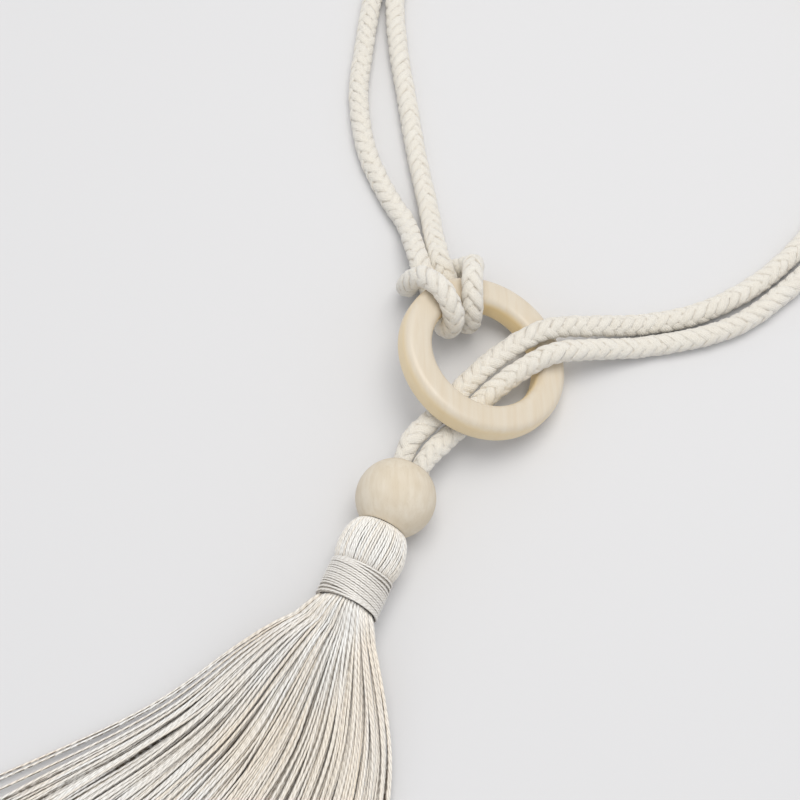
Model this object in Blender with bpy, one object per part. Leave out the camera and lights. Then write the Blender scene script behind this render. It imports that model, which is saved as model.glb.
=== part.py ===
"""Curtain tieback: a doubled cotton rope hitched on a wooden ring, with a bead and a tassel.

It lies on a table, +Z up. The rope is one length folded in half. Its fold is hitched on the
ring, both halves run round in a loose loop, pass over and through the ring, and end inside
the bead, against the head of the tassel.
"""

import math
from collections import namedtuple

import bmesh
import bpy
from mathutils import Matrix, Vector

MM = 0.001
GAP = 0.3 * MM

# Ring: a turned hoop with a well-rounded section, its left side raised on the ropes.
RING_CENTRE = Vector((30.3, 9.7, 0.0)) * MM
RING_MID_RADIUS = 27.2 * MM
RING_HALF_WIDTH = 5.8 * MM
RING_HALF_HEIGHT = 5.2 * MM
RING_SQUARENESS = 3.2
RING_TILT = math.radians(22.6)
RING_TILT_TOWARDS = math.radians(10.0)
RING_STEPS = 60
RING_SECTION_STEPS = 14
RING_FLAT = 0.15 * MM

# Bead: a wooden ball on its side, its bore along the line of the tassel.
BEAD_RADIUS = 14.4 * MM
BEAD_BORE_RADIUS = 7.8 * MM
BEAD_CENTRE = Vector((-1.5, -45.0, 14.1)) * MM
BEAD_STEPS = 40
BEAD_PROFILE_STEPS = 12
BEAD_FLAT = 0.3 * MM
HANG_DIRECTION = Vector((-0.400, -0.916, 0.0)).normalized()
ACROSS = Vector((-HANG_DIRECTION.y, HANG_DIRECTION.x, 0.0))

# Tassel: places along the hang direction are counted from the bead's centre.
HEAD_TOP = 12.2 * MM
HEAD_WIDEST = 20.2 * MM
HEAD_RADIUS = 12.5 * MM
HEAD_SQUARENESS = 3.6
DOME_RINGS = 6
SHOULDER = 25.6 * MM
SHOULDER_RADIUS = 12.2 * MM
TUCK = 28.0 * MM
TUCK_RADIUS = 11.0 * MM
TUCK_HEIGHT = 11.9 * MM
NECK_START = 28.6 * MM
NECK_END = 43.4 * MM
NECK_RADIUS = 10.15 * MM
WRAP_THICKNESS = 1.35 * MM
WRAP_TURNS = 9
WRAP_GROOVE = 0.25 * MM
WRAP_SIDES = 32
FLARE_START = 44.8 * MM
FLARE_HALF_WIDTH = 11.8 * MM
FLARE_HALF_HEIGHT = 11.0 * MM
FLARE_HEIGHT = 11.4 * MM
FLARE_ROUNDNESS = 0.95
SKIRT_ROOT = 52.0 * MM
SKIRT_ROOT_HALF_WIDTH = 15.5 * MM
SKIRT_ROOT_HALF_HEIGHT = 9.6 * MM
SKIRT_ROOT_ROUNDNESS = 0.75

STRAND_ROWS = 9
STRAND_COLUMNS = 18
ROWS_IN_A_LAYER = 3
STRAND_THICKNESS = 1.2 * MM
STRAND_LENGTH = 172.0 * MM
LENGTH_SPREAD = 6.0 * MM
ROOT_SHARE_OF_CELL = 0.64
ROW_PITCH = 1.45 * MM
LAYER_PITCH = 1.5 * MM
ROWS_SETTLED_AT = 45.0 * MM
LAYERS_SETTLED_AT = 78.0 * MM
STRAND_STATIONS = (20.0 * MM, ROWS_SETTLED_AT, LAYERS_SETTLED_AT, 122.0 * MM)
FAN_EDGES = [  # (millimetres from the root, heading of the left edge and of the right one, in degrees)
    (0, -41, 36), (18, -36, 34), (32, -29, 29), (44, -31, 20),
    (58, -37, 16), (78, -41, 15), (122, -43, 17), (172, -42, 20),
]

# Rope: its radius when free, pulled tight in the hitch, and squeezed in the bead.
ROPE_RADIUS = 4.1 * MM
ROPE_RADIUS_IN_HITCH = 3.7 * MM
ROPE_RADIUS_IN_BEAD = 3.55 * MM
ROPE_APART_IN_BEAD = 3.75 * MM
ROPE_END = 11.6 * MM
STRAIGHT_PAST_BEAD = 3.5 * MM
LOOP_HEIGHT = 4.2
LOOP_HALF_SPACING = 4.7

# The rope's route in millimetres, as (x, y, z) of its centre line.
UPPER_RUN = [
    (4.6, -21.8, 14.4), (11.0, -15.0, 13.9), (22.4, -2.0, 13.4), (37.4, 12.0, 14.6),
    (54.0, 21.1, 16.4), (72.0, 25.6, 11.0), (92.0, 29.4, 4.7), (111.2, 33.6, 4.25),
    (128.1, 41.0, 4.2), (142.8, 51.2, 4.2),
]
LOWER_RUN = [
    (12.8, -25.6, 13.0), (18.8, -18.8, 10.9), (30.8, -5.0, 11.2), (43.4, 4.6, 14.2),
    (56.0, 11.2, 16.2), (72.0, 15.6, 11.0), (92.0, 19.9, 4.7), (113.3, 24.2, 4.25),
    (131.0, 31.0, 4.2), (146.2, 42.0, 4.2),
]
LOOP_MIDDLE = [
    (163.5, 65.5), (183, 97), (191, 136), (188.5, 180), (169, 213), (130, 227),
    (86, 229), (44, 228), (13, 220), (-3, 205), (-6.6, 188),
]
RIGHT_LEG = [(-0.8, 162, 4.2), (3.2, 131, 4.2), (7.6, 102, 4.2), (12.0, 76.5, 5.4), (13.8, 62.5, 9.4)]
LEFT_LEG = [
    (-15.2, 160, 4.2), (-17.0, 135, 4.2), (-13.6, 110, 4.2),
    (-4.6, 87.0, 4.2), (2.6, 73.5, 5.6), (5.4, 62.0, 9.4),
]
HITCH = [
    (15.9, 51.6, 12.4), (19.2, 43.8, 9.4), (21.8, 37.4, 6.3), (23.6, 32.2, 5.3),
    (25.4, 27.9, 8.4), (26.5, 26.2, 15.0), (26.9, 28.1, 22.7), (26.8, 35.2, 26.6),
    (27.2, 43.0, 24.4), (27.8, 48.6, 17.4), (26.0, 51.8, 10.4), (20.4, 53.4, 5.2),
    (12.4, 52.0, 4.2), (5.8, 48.8, 4.6), (3.0, 44.2, 8.4), (2.9, 41.4, 15.2),
    (4.8, 39.2, 22.4), (8.7, 36.4, 29.2), (14.2, 30.6, 32.6), (18.6, 24.7, 29.3),
    (19.8, 22.0, 21.9), (18.2, 23.2, 13.8), (16.0, 28.0, 8.6), (13.4, 35.4, 9.4),
    (10.8, 43.0, 11.2), (8.0, 51.0, 12.4),
]
STEP_IN_HITCH = 3.6 * MM
STEP_NEAR_RING = 12.0 * MM
STEP_ON_FREE_RUN = 24.0 * MM
POINTS_NEAR_RING = 10
CURVE_STEPS = 24

COTTON = ((0.83, 0.78, 0.69), 0.95)
PALE_WOOD = ((0.78, 0.62, 0.40), 0.35)
RAW_WOOD = ((0.76, 0.63, 0.46), 0.60)
SILKY_THREAD = ((0.84, 0.79, 0.70), 0.45)
WRAP_THREAD = ((0.75, 0.68, 0.58), 0.45)


def clear_scene():
    for old in list(bpy.data.objects):
        bpy.data.objects.remove(old, do_unlink=True)


def make_material(name, finish):
    colour, roughness = finish
    material = bpy.data.materials.new(name)
    material.use_nodes = True
    shader = material.node_tree.nodes["Principled BSDF"]
    shader.inputs["Base Color"].default_value = (*colour, 1.0)
    shader.inputs["Roughness"].default_value = roughness
    shader.inputs["Metallic"].default_value = 0.0
    return material


def add_object(name, bm, material):
    bmesh.ops.recalc_face_normals(bm, faces=bm.faces)
    mesh = bpy.data.meshes.new(name)
    bm.to_mesh(mesh)
    bm.free()
    mesh.materials.append(material)
    mesh.shade_smooth()
    mesh.set_sharp_from_angle(angle=math.radians(35.0))
    piece = bpy.data.objects.new(name, mesh)
    bpy.context.scene.collection.objects.link(piece)
    return piece


def spun_solid(outline, steps):
    """Spin a closed outline, given as points, a whole turn about the upright axis."""
    bm = bmesh.new()
    corners = [bm.verts.new(point) for point in outline]
    edges = [bm.edges.new((corners[i - 1], corners[i])) for i in range(len(corners))]
    bmesh.ops.spin(
        bm, geom=corners + edges, cent=(0, 0, 0), axis=(0, 0, 1),
        angle=math.tau, steps=steps, use_merge=True, use_duplicate=False,
    )
    bmesh.ops.remove_doubles(bm, verts=bm.verts, dist=0.01 * MM)
    return bm


def cut_flat_and_stand(bm, depth):
    """Cut a thin flat at the lowest point, and put that flat on the table."""
    lowest = min(vert.co.z for vert in bm.verts)
    everything = list(bm.verts) + list(bm.edges) + list(bm.faces)
    cut = bmesh.ops.bisect_plane(
        bm, geom=everything, plane_co=(0, 0, lowest + depth), plane_no=(0, 0, 1), clear_inner=True,
    )
    rim = [item for item in cut["geom_cut"] if isinstance(item, bmesh.types.BMEdge)]
    bmesh.ops.contextual_create(bm, geom=rim)
    bmesh.ops.translate(bm, verts=bm.verts, vec=(0, 0, -lowest - depth))


def upright_to_hang():
    """The turn that lays an upright piece along the hang direction."""
    return Vector((0, 0, 1)).rotation_difference(HANG_DIRECTION).to_matrix()


def build_ring(material):
    outline = []
    for step in range(RING_SECTION_STEPS):
        angle = math.tau * (step + 0.5) / RING_SECTION_STEPS
        across = math.copysign(abs(math.cos(angle)) ** (2 / RING_SQUARENESS), math.cos(angle))
        upright = math.copysign(abs(math.sin(angle)) ** (2 / RING_SQUARENESS), math.sin(angle))
        outline.append((RING_MID_RADIUS + RING_HALF_WIDTH * across, 0, RING_HALF_HEIGHT * upright))
    bm = spun_solid(outline, RING_STEPS)
    turn = Matrix.Rotation(RING_TILT_TOWARDS, 4, "Z") @ Matrix.Rotation(RING_TILT, 4, "Y")
    bmesh.ops.transform(bm, matrix=Matrix.Translation(RING_CENTRE) @ turn, verts=bm.verts)
    cut_flat_and_stand(bm, RING_FLAT)
    return add_object("ring", bm, material)


def build_bead(material):
    bore_half_length = math.sqrt(BEAD_RADIUS**2 - BEAD_BORE_RADIUS**2)
    rim_angle = math.atan2(BEAD_BORE_RADIUS, bore_half_length)
    outline = []
    for step in range(BEAD_PROFILE_STEPS + 1):
        angle = rim_angle + (math.pi - 2 * rim_angle) * step / BEAD_PROFILE_STEPS
        outline.append((BEAD_RADIUS * math.sin(angle), 0, BEAD_RADIUS * math.cos(angle)))
    bm = spun_solid(outline, BEAD_STEPS)
    bmesh.ops.rotate(bm, verts=bm.verts, matrix=upright_to_hang())
    bmesh.ops.translate(bm, verts=bm.verts, vec=BEAD_CENTRE)
    cut_flat_and_stand(bm, BEAD_FLAT)
    return add_object("bead", bm, material)


def hang_point(along, aside, height):
    """A place given along the tassel from the bead's centre, to its right, and above the table."""
    place = BEAD_CENTRE + HANG_DIRECTION * along + ACROSS * aside
    place.z = height
    return place


Section = namedtuple("Section", "along half_width half_height middle_height roundness")


def tassel_sections():
    """Cross-sections of the head, neck and flare, from the bead towards the skirt."""
    axis_at_neck = NECK_RADIUS + WRAP_THICKNESS + GAP
    sections = []
    for step in range(1, DOME_RINGS + 1):
        part = step / DOME_RINGS
        radius = HEAD_RADIUS * math.sin(part * math.pi / 2) ** (2 / HEAD_SQUARENESS)
        before_widest = abs(math.cos(part * math.pi / 2)) ** (2 / HEAD_SQUARENESS)
        along = HEAD_WIDEST - (HEAD_WIDEST - HEAD_TOP) * before_widest
        middle = BEAD_CENTRE.z + (HEAD_RADIUS - BEAD_CENTRE.z) * part
        sections.append(Section(along, radius, radius, middle, 1.0))
    sections.append(Section(SHOULDER, SHOULDER_RADIUS, SHOULDER_RADIUS, SHOULDER_RADIUS, 1.0))
    sections.append(Section(TUCK, TUCK_RADIUS, TUCK_RADIUS, TUCK_HEIGHT, 1.0))
    sections.append(Section(NECK_START, NECK_RADIUS, NECK_RADIUS, axis_at_neck, 1.0))
    sections.append(Section(NECK_END, NECK_RADIUS, NECK_RADIUS, axis_at_neck, 1.0))
    sections.append(
        Section(FLARE_START, FLARE_HALF_WIDTH, FLARE_HALF_HEIGHT, FLARE_HEIGHT, FLARE_ROUNDNESS)
    )
    sections.append(
        Section(
            SKIRT_ROOT, SKIRT_ROOT_HALF_WIDTH, SKIRT_ROOT_HALF_HEIGHT,
            SKIRT_ROOT_HALF_HEIGHT, SKIRT_ROOT_ROUNDNESS,
        )
    )
    return sections


def section_point(section, right, up):
    """Map a point of the square from -1 to 1 onto the rounded cross-section."""
    aside = right * math.sqrt(1 - section.roundness * up * up / 2)
    raised = up * math.sqrt(1 - section.roundness * right * right / 2)
    height = section.middle_height + section.half_height * raised
    return hang_point(section.along, section.half_width * aside, height)


def rim_cells():
    """The grid's outer corners, once round."""
    across = [(column, 0) for column in range(STRAND_COLUMNS)]
    up = [(STRAND_COLUMNS, row) for row in range(STRAND_ROWS)]
    back = [(STRAND_COLUMNS - column, STRAND_ROWS) for column in range(STRAND_COLUMNS)]
    down = [(0, STRAND_ROWS - row) for row in range(STRAND_ROWS)]
    return across + up + back + down


def grid_place(column, row):
    return 2 * column / STRAND_COLUMNS - 1, 2 * row / STRAND_ROWS - 1


def blend(low, high, part):
    return low + (high - low) * min(max(part, 0.0), 1.0)


def strand_height(row, root_height, travelled):
    """Height of a strand's middle: it sinks to its own row's height, and then into its layer."""
    stacked = STRAND_THICKNESS / 2 + row * ROW_PITCH
    layered = STRAND_THICKNESS / 2 + (row // ROWS_IN_A_LAYER) * LAYER_PITCH
    if travelled <= ROWS_SETTLED_AT:
        return blend(root_height, stacked, travelled / ROWS_SETTLED_AT)
    return blend(stacked, layered, (travelled - ROWS_SETTLED_AT) / (LAYERS_SETTLED_AT - ROWS_SETTLED_AT))


def strand_stations(column, row):
    """Distances from the root at which a strand has a cross-section. The tips are uneven."""
    unevenness = 0.5 + 0.5 * math.sin(2.3 * column + 4.1 * row)
    return (*STRAND_STATIONS, STRAND_LENGTH - LENGTH_SPREAD * unevenness)


def strand_heading(spread, travelled):
    """Turn of a strand from the hang direction, between the headings of the fan's two edges."""
    for before, after in zip(FAN_EDGES, FAN_EDGES[1:]):
        if travelled <= after[0] * MM:
            break
    part = (travelled / MM - before[0]) / (after[0] - before[0])
    left, right = (blend(before[side], after[side], part) for side in (1, 2))
    return math.radians(blend(left, right, (spread + 1) / 2))


def grow_strand(bm, root, column, row):
    """Extrude one strand from its root, a small four-cornered loop, and close its tip."""
    layer_place = column * ROWS_IN_A_LAYER + row % ROWS_IN_A_LAYER + 0.5
    spread = 2 * layer_place / (STRAND_COLUMNS * ROWS_IN_A_LAYER) - 1
    start = sum((corner.co for corner in root), Vector()) / 4
    place = start.copy()
    travelled = 0.0
    loop = root
    for station in strand_stations(column, row):
        step = (station - travelled) / 4
        for _ in range(4):
            heading = Matrix.Rotation(strand_heading(spread, travelled + step / 2), 3, "Z") @ HANG_DIRECTION
            place += heading * step
            travelled += step
        side = Vector((-heading.y, heading.x, 0.0)) * (STRAND_THICKNESS / 2)
        rise = Vector((0.0, 0.0, STRAND_THICKNESS / 2))
        middle = Vector((place.x, place.y, strand_height(row, start.z, travelled)))
        corners = [middle - side - rise, middle + side - rise, middle + side + rise, middle - side + rise]
        following = [bm.verts.new(corner) for corner in corners]
        for k in range(4):
            bm.faces.new((loop[k - 1], loop[k], following[k], following[k - 1]))
        loop = following
    bm.faces.new(loop)


def build_tassel(material):
    bm = bmesh.new()
    sections = tassel_sections()
    rim = rim_cells()
    top = bm.verts.new(hang_point(HEAD_TOP, 0.0, BEAD_CENTRE.z))
    loop = [bm.verts.new(section_point(sections[0], *grid_place(*cell))) for cell in rim]
    for k in range(len(loop)):
        bm.faces.new((top, loop[k - 1], loop[k]))
    for section in sections[1:]:
        following = [bm.verts.new(section_point(section, *grid_place(*cell))) for cell in rim]
        for k in range(len(loop)):
            bm.faces.new((loop[k - 1], loop[k], following[k], following[k - 1]))
        loop = following
    corner_at = dict(zip(rim, loop))
    for column in range(1, STRAND_COLUMNS):
        for row in range(1, STRAND_ROWS):
            corner_at[column, row] = bm.verts.new(section_point(sections[-1], *grid_place(column, row)))
    for column in range(STRAND_COLUMNS):
        for row in range(STRAND_ROWS):
            cell = [(column, row), (column + 1, row), (column + 1, row + 1), (column, row + 1)]
            corners = [corner_at[key] for key in cell]
            middle = sum((corner.co for corner in corners), Vector()) / 4
            root = [bm.verts.new(middle.lerp(corner.co, ROOT_SHARE_OF_CELL)) for corner in corners]
            for k in range(4):
                bm.faces.new((corners[k - 1], corners[k], root[k], root[k - 1]))
            grow_strand(bm, root, column, row)
    return add_object("tassel", bm, material)


def build_neck_wrap(material):
    """A wound sleeve round the neck, with a shallow groove between its turns."""
    inner = NECK_RADIUS + GAP
    outer = inner + WRAP_THICKNESS
    start = NECK_START + GAP
    length = NECK_END - NECK_START - 2 * GAP
    outline = [(inner, 0, length), (inner, 0, 0)]
    for turn in range(2 * WRAP_TURNS + 1):
        groove = WRAP_GROOVE if turn % 2 == 0 else 0.0
        outline.append((outer - groove, 0, length * turn / (2 * WRAP_TURNS)))
    bm = spun_solid(outline, WRAP_SIDES)
    bmesh.ops.rotate(bm, verts=bm.verts, matrix=Matrix.Rotation(math.pi / WRAP_SIDES, 3, "Z"))
    bmesh.ops.rotate(bm, verts=bm.verts, matrix=upright_to_hang())
    lowest = min(vert.co.z for vert in bm.verts)
    bmesh.ops.translate(bm, verts=bm.verts, vec=hang_point(start, 0.0, -lowest))
    return add_object("neck_wrap", bm, material)


def beside_loop(side):
    """The loop's middle line moved sideways: +1 is the outer rope, -1 the inner one."""
    points = []
    last = len(LOOP_MIDDLE) - 1
    for k, (x, y) in enumerate(LOOP_MIDDLE):
        before = Vector(LOOP_MIDDLE[max(k - 1, 0)])
        after = Vector(LOOP_MIDDLE[min(k + 1, last)])
        along = (after - before).normalized()
        points.append((
            x + along.y * side * LOOP_HALF_SPACING, y - along.x * side * LOOP_HALF_SPACING, LOOP_HEIGHT,
        ))
    return points


def bead_points(side):
    """The rope inside the bead, from its cut end out to the mouth."""
    mouth = math.sqrt(BEAD_RADIUS**2 - BEAD_BORE_RADIUS**2)
    places = (ROPE_END, -2.0 * MM, -mouth, -mouth - STRAIGHT_PAST_BEAD)
    return [hang_point(along, side * ROPE_APART_IN_BEAD, BEAD_CENTRE.z) for along in places]


def rope_route():
    """All the route's points in metres, and the stretch of them that is the hitch."""
    first = bead_points(-1)
    last = bead_points(1)
    before_hitch = UPPER_RUN + beside_loop(-1) + RIGHT_LEG
    after_hitch = LEFT_LEG[::-1] + beside_loop(1)[::-1] + LOWER_RUN[::-1]
    middle = [Vector(point) * MM for point in before_hitch + HITCH + after_hitch]
    hitch_start = len(first) + len(before_hitch)
    return first + middle + last[::-1], (hitch_start, hitch_start + len(HITCH) - 1)


def smooth_through(points):
    """A curve through the points, with the point number that each of its steps belongs to."""
    padded = [points[0] * 2 - points[1]] + points + [points[-1] * 2 - points[-2]]
    curve = []
    for k in range(len(points) - 1):
        p0, p1, p2, p3 = padded[k:k + 4]
        d1, d2, d3 = (math.sqrt((b - a).length) for a, b in ((p0, p1), (p1, p2), (p2, p3)))
        leave = ((p1 - p0) / d1 - (p2 - p0) / (d1 + d2) + (p2 - p1) / d2) * d2
        arrive = ((p2 - p1) / d2 - (p3 - p1) / (d2 + d3) + (p3 - p2) / d3) * d2
        for step in range(CURVE_STEPS):
            t = step / CURVE_STEPS
            place = p1 * (2 * t**3 - 3 * t**2 + 1) + leave * (t**3 - 2 * t**2 + t)
            place += p2 * (3 * t**2 - 2 * t**3) + arrive * (t**3 - t**2)
            curve.append((place, k + t))
    curve.append((points[-1], len(points) - 1.0))
    return curve


def radius_at(number, count, hitch):
    """The rope's radius at a point number of the route."""
    to_end = min(number, count - 1 - number)
    if to_end < 4:
        return blend(ROPE_RADIUS_IN_BEAD, ROPE_RADIUS, to_end - 3)
    outside = max(hitch[0] - number, number - hitch[1], 0.0)
    return blend(ROPE_RADIUS_IN_HITCH, ROPE_RADIUS, outside)


def step_at(number, count, hitch):
    """How far apart the rope's cross-sections lie at a point number of the route."""
    if hitch[0] - 1 <= number <= hitch[1] + 1:
        return STEP_IN_HITCH
    if min(number, count - 1 - number) < POINTS_NEAR_RING:
        return STEP_NEAR_RING
    return STEP_ON_FREE_RUN


def build_rope(material):
    points, hitch = rope_route()
    curve = smooth_through(points)
    chosen = [curve[0]]
    travelled = 0.0
    for (before, _), (place, number) in zip(curve, curve[1:]):
        travelled += (place - before).length
        if travelled >= step_at(number, len(points), hitch):
            chosen.append((place, number))
            travelled = 0.0
    if (chosen[-1][0] - curve[-1][0]).length < STEP_IN_HITCH:
        chosen.pop()
    chosen.append(curve[-1])
    data = bpy.data.curves.new("rope", "CURVE")
    data.dimensions = "3D"
    data.bevel_depth = ROPE_RADIUS
    data.bevel_resolution = 2
    data.use_fill_caps = True
    data.materials.append(material)
    spline = data.splines.new("POLY")
    spline.points.add(len(chosen) - 1)
    for point, (place, number) in zip(spline.points, chosen):
        point.co = (*place, 1.0)
        point.radius = radius_at(number, len(points), hitch) / ROPE_RADIUS
    rope = bpy.data.objects.new("rope", data)
    bpy.context.scene.collection.objects.link(rope)
    return rope


def stand_at_origin(pieces, rope):
    """Put the origin on the table, below the middle of the box round all but the rope."""
    corners = [vert.co for piece in pieces for vert in piece.data.vertices]
    middle_x = (min(c.x for c in corners) + max(c.x for c in corners)) / 2
    middle_y = (min(c.y for c in corners) + max(c.y for c in corners)) / 2
    tieback = bpy.data.objects.new("tieback", None)
    tieback.location = (-middle_x, -middle_y, 0.0)
    bpy.context.scene.collection.objects.link(tieback)
    for piece in pieces + [rope]:
        piece.parent = tieback


def main():
    clear_scene()
    ring = build_ring(make_material("ring_wood", PALE_WOOD))
    bead = build_bead(make_material("bead_wood", RAW_WOOD))
    tassel = build_tassel(make_material("tassel_thread", SILKY_THREAD))
    neck_wrap = build_neck_wrap(make_material("wrap_thread", WRAP_THREAD))
    rope = build_rope(make_material("cotton_rope", COTTON))
    stand_at_origin([ring, bead, tassel, neck_wrap], rope)


main()
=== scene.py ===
"""Looks of a curtain tieback: braided cotton rope, wooden ring and bead, silky thread tassel.

Everything is in metres, +Z up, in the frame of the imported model. The route's own points are
counted from the middle of the ring, bead and first run of rope, and are moved into that frame.
"""

import math
from collections import namedtuple
from functools import partial

import bmesh
import bpy
import numpy as np
from mathutils import Matrix, Vector


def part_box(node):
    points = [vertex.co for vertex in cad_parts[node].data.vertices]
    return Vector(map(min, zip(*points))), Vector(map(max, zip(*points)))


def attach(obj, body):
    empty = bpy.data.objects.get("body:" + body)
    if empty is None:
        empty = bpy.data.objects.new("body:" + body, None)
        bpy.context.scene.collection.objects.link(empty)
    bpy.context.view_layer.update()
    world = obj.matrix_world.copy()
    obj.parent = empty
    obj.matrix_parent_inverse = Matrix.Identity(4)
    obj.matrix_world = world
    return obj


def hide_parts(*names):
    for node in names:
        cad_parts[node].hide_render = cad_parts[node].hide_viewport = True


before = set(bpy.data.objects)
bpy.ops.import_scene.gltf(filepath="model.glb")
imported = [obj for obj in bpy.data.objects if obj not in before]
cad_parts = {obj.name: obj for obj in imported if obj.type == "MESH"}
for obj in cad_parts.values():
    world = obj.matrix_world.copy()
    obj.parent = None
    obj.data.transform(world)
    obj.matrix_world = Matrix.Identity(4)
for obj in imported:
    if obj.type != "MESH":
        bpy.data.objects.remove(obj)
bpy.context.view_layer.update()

bl_info = {
    "name": "Curtain tieback looks",
    "version": (1, 0, 0),
    "blender": (4, 5, 0),
    "location": "View3D > Sidebar > Tieback",
    "description": "Builds the rope, ring, bead and tassel of a curtain tieback on its packed model",
    "category": "Add Mesh",
}

BODY = "root"
MM = 0.001

# The bead's centre in the route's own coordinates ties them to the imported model.
BEAD_IN_ROUTE = Vector((-1.5, -45.0, 14.1)) * MM
BEAD_LOW, BEAD_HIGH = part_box("bead")
ROUTE_ORIGIN = Vector((
    (BEAD_LOW.x + BEAD_HIGH.x) / 2 - BEAD_IN_ROUTE.x,
    (BEAD_LOW.y + BEAD_HIGH.y) / 2 - BEAD_IN_ROUTE.y,
    0.0,
))
BEAD_CENTRE = BEAD_IN_ROUTE + ROUTE_ORIGIN
HANG = Vector((-0.400, -0.916, 0.0)).normalized()
ACROSS = Vector((-HANG.y, HANG.x, 0.0))
UP = Vector((0.0, 0.0, 1.0))

# Camera: it looks down on the floor from the tassel's side.
CAMERA_DISTANCE = 560 * MM
CAMERA_LEAN = math.radians(25.0)
CAMERA_LENS = 67.0

# Rope: one length folded in half, both its ends in the bead. Places in the bead are counted
# from its centre along the tassel.
FREE_DIAMETER = 8.2 * MM
BEAD_BORE_RADIUS = 7.8 * MM
ROPE_SHARE_IN_BEAD = 3.55 / 4.1
ROPE_APART_IN_BEAD = 3.75 * MM
ROPE_END = 11.6 * MM
ROPE_INSIDE_BEAD = -2.0 * MM
STRAIGHT_PAST_BEAD = 3.5 * MM
LOOP_HEIGHT = 4.2
LOOP_HALF_SPACING = 4.7
# Points of the centre line, (x, y, z) in millimetres. The loop's points lie between its ropes.
UPPER_RUN = [
    (4.6, -21.8, 14.4), (11.0, -15.0, 13.9), (22.4, -2.0, 13.4), (37.4, 12.0, 14.6),
    (54.0, 21.1, 16.4), (72.0, 25.6, 11.0), (92.0, 29.4, 4.7), (111.2, 33.6, 4.25),
    (128.1, 41.0, 4.2), (142.8, 51.2, 4.2),
]
LOWER_RUN = [
    (12.8, -25.6, 13.0), (18.8, -18.8, 10.9), (30.8, -5.0, 11.2), (43.4, 4.6, 14.2),
    (56.0, 11.2, 16.2), (72.0, 15.6, 11.0), (92.0, 19.9, 4.7), (113.3, 24.2, 4.25),
    (131.0, 31.0, 4.2), (146.2, 42.0, 4.2),
]
LOOP_MIDDLE = [
    (163.5, 65.5), (183, 97), (191, 136), (188.5, 180), (169, 213), (130, 227),
    (86, 229), (44, 228), (13, 220), (-3, 205), (-6.6, 188),
]
RIGHT_LEG = [
    (-0.8, 162, 4.2), (3.2, 131, 4.2), (7.6, 102, 4.2), (12.0, 76.5, 5.4), (13.8, 62.5, 9.4),
]
LEFT_LEG = [
    (-15.2, 160, 4.2), (-17.0, 135, 4.2), (-13.6, 110, 4.2),
    (-4.6, 87.0, 4.2), (2.6, 73.5, 5.6), (5.4, 62.0, 9.4),
]
HITCH = [
    (15.9, 51.6, 12.4), (19.2, 43.8, 9.4), (21.8, 37.4, 6.3), (23.6, 32.2, 5.3),
    (25.4, 27.9, 8.4), (26.5, 26.2, 15.0), (26.9, 28.1, 22.7), (26.8, 35.2, 26.6),
    (27.2, 43.0, 24.4), (27.8, 48.6, 17.4), (26.0, 51.8, 10.4), (20.4, 53.4, 5.2),
    (12.4, 52.0, 4.2), (5.8, 48.8, 4.6), (3.0, 44.2, 8.4), (2.9, 41.4, 15.2),
    (4.8, 39.2, 22.4), (8.7, 36.4, 29.2), (14.2, 30.6, 32.6), (18.6, 24.7, 29.3),
    (19.8, 22.0, 21.9), (18.2, 23.2, 13.8), (16.0, 28.0, 8.6), (13.4, 35.4, 9.4),
    (10.8, 43.0, 11.2), (8.0, 51.0, 12.4),
]
CURVE_STEPS = 24

# Braid: four strands each way, each over two and under two.
STRANDS_EACH_WAY = 4
BRAID_STEPS_PER_TURN = 16
STRAND_MIDDLE = 2.85 * MM
WEAVE_DEPTH = 0.24 * MM
STRAND_HALF_THICKNESS = 1.10 * MM
STRAND_HALF_WIDTH = 2.02 * MM
BRAID_CORE = 3.4 * MM
COLUMN_DRIFT_TURN = 620 * MM
STRAND_SECTION_ANGLES = (0, 36, 72, 128, 232, 288, 324)
# A strand steps over and under the others more sharply, the smaller this is.
CROSSING_EASE = 0.22
CROSSING_SWELL = 0.07
# Its height and width vary in slow and quick waves.
SLOW_WAVE = 6.1 * MM
QUICK_WAVE = 2.3 * MM
UNEVEN_HEIGHT = 0.09 * MM
UNEVEN_WIDTH = 0.03
# Its flanks fall away, and its painted shade is deepest this far below the rope's outside.
FLANK_FALL = 0.32
DARKEST_BELOW = 1.5 * MM

# Ring: a turned hoop, flat above with eased corners, its left side raised on the ropes.
RING_MID_RADIUS = 27.0 * MM
RING_HALF_WIDTH = 5.6 * MM
RING_HALF_HEIGHT = 5.2 * MM
RING_CORNER = 3.2 * MM
RING_CROWN = 1.03
# Where its walls start and end, as shares of half the ring's height below its top.
WALL_TOP, WALL_TOP_BLEND = 0.20, 0.34
WALL_FOOT, WALL_FOOT_BLEND = 1.95, 0.25
# The walls show end grain and painted warm bounce light, weaker on the outer wall.
OUTER_WALL_SHARE = 0.6
RING_TILT = math.radians(22.6)
RING_TILT_TOWARDS = math.radians(10.0)
RING_CENTRE = Vector((30.3, 9.7, 0.0)) * MM
RING_FLAT = 0.15 * MM
NEAR = 0.01 * MM
SMOOTH_ANGLE = math.radians(35)

# Bead: a wooden ball, drilled along the line of the tassel.
BEAD_RADIUS = 14.4 * MM
BEAD_RIM = 0.7 * MM
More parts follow.
